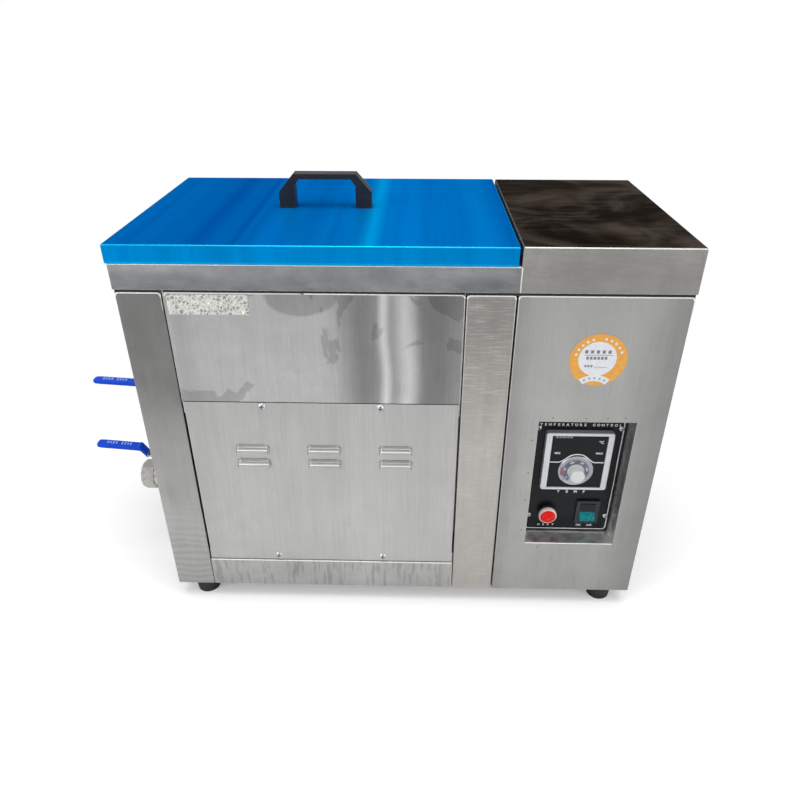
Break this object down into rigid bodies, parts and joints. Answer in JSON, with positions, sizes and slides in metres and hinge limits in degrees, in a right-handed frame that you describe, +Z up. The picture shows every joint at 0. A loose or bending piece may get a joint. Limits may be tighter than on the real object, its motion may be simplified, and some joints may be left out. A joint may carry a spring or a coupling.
{
  "type": "electric deep fryer",
  "caption": "Countertop electric deep fryer: steel cabinet, tank under a lift-off lid, recessed panel with thermostat knob, lamp and rocker switch, and lever drain valves on the side.",
  "frame": {"origin": "on the table, in the middle of the whole part's footprint", "axes": "+X to the right seen from the front, +Y to the back, +Z up"},
  "size_m": [0.6636, 0.285, 0.4695],
  "materials": {
    "stainless": "brushed",
    "plain_steel": "mill finish",
    "dark_steel": "dark reflective",
    "tank_steel": "satin",
    "element_sheath": "satin",
    "blue_film": "glossy film on steel",
    "black_plastic": "moulded",
    "control_black": "printed panel",
    "silver_bezel": "satin",
    "cream_knob": "smooth",
    "lamp_trim": "smooth",
    "red_lens": "translucent",
    "green_rocker": "translucent",
    "valve_nickel": "nickel plated",
    "blue_vinyl": "dipped vinyl",
    "foot_rubber": "moulded",
    "fastener": "zinc plated",
    "foil": "crinkled foil",
    "sticker_paper": "printed paper",
    "brass_fitting": "turned",
    "electric_body": "moulded",
    "wire_cover": "extruded",
    "gland_nylon": "moulded"
  },
  "bodies": {
    "cabinet": {"left_side_panel": "stainless", "middle_post": "stainless", "control_box_shell": "stainless", "upper_front_panel": "stainless", "bottom_front_rail": "stainless", "louvred_service_panel": "stainless", "worktop": "stainless", "recess_box": "stainless", "base_pan": "plain_steel", "back_panel": "plain_steel", "partition_wall": "plain_steel", "control_box_cover": "dark_steel", "fry_tank": "tank_steel", "element_flange": "tank_steel", "oil_drain_pipe": "tank_steel", "water_drain_pipe": "tank_steel", "temperature_sensor": "tank_steel", "heating_element": "element_sheath", "lamp_body": "black_plastic", "rocker_frame": "black_plastic", "thermostat_case": "black_plastic", "control_plate": "control_black", "thermostat_face": "control_black", "thermostat_bezel": "silver_bezel", "lamp_ring": "lamp_trim", "lamp_lens": "red_lens", "oil_valve_body": "valve_nickel", "water_valve_body": "valve_nickel", "rubber_feet": "foot_rubber", "element_gasket": "foot_rubber", "service_panel_screws": "fastener", "control_plate_screws": "fastener", "foot_screws": "fastener", "element_nuts": "fastener", "foil_label": "foil", "round_sticker": "sticker_paper", "sensor_gland": "brass_fitting", "contactor": "electric_body", "terminal_block": "electric_body", "overheat_cutout": "electric_body", "wiring": "wire_cover", "cable_gland": "gland_nylon", "gland_lock_nut": "gland_nylon"},
    "lid": {"lid_shell": "blue_film", "lid_handle": "black_plastic", "lid_handle_screws": "fastener"},
    "thermostat_control": {"thermostat_knob": "cream_knob", "thermostat_dial": "silver_bezel"},
    "rocker": {"rocker_paddle": "green_rocker"},
    "oil_valve_handle": {"oil_valve_ball": "valve_nickel", "oil_valve_stem": "valve_nickel", "oil_valve_lever": "valve_nickel", "oil_valve_grip": "blue_vinyl"},
    "water_valve_handle": {"water_valve_ball": "valve_nickel", "water_valve_stem": "valve_nickel", "water_valve_lever": "valve_nickel", "water_valve_grip": "blue_vinyl"},
    "tank_rest": {"element_rest": "tank_steel", "rest_handles": "tank_steel"}
  },
  "joints": [
    {"name": "lid_lift", "type": "slide", "parent": "cabinet", "child": "lid", "axis": [0, 0, 1], "range_m": [0, 0.25]},
    {"name": "thermostat_turn", "type": "hinge", "parent": "cabinet", "child": "thermostat_control", "pos_m": [0.2517, -0.12425, 0.182], "axis": [0, 1, 0], "range_deg": [0, 300]},
    {"name": "rocker_tilt", "type": "hinge", "parent": "cabinet", "child": "rocker", "pos_m": [0.2732, -0.11415, 0.122], "axis": [1, 0, 0], "range_deg": [0, 18]},
    {"name": "oil_valve_turn", "type": "hinge", "parent": "cabinet", "child": "oil_valve_handle", "pos_m": [-0.2368, 0.02685, 0.159], "axis": [0, 0, -1], "range_deg": [0, 90]},
    {"name": "water_valve_turn", "type": "hinge", "parent": "cabinet", "child": "water_valve_handle", "pos_m": [-0.2368, -0.03115, 0.101], "axis": [0, 0, 1], "range_deg": [0, 90]},
    {"name": "rest_lift", "type": "slide", "parent": "cabinet", "child": "tank_rest", "axis": [0, 0, 1], "range_m": [0, 0.13]}
  ]
}
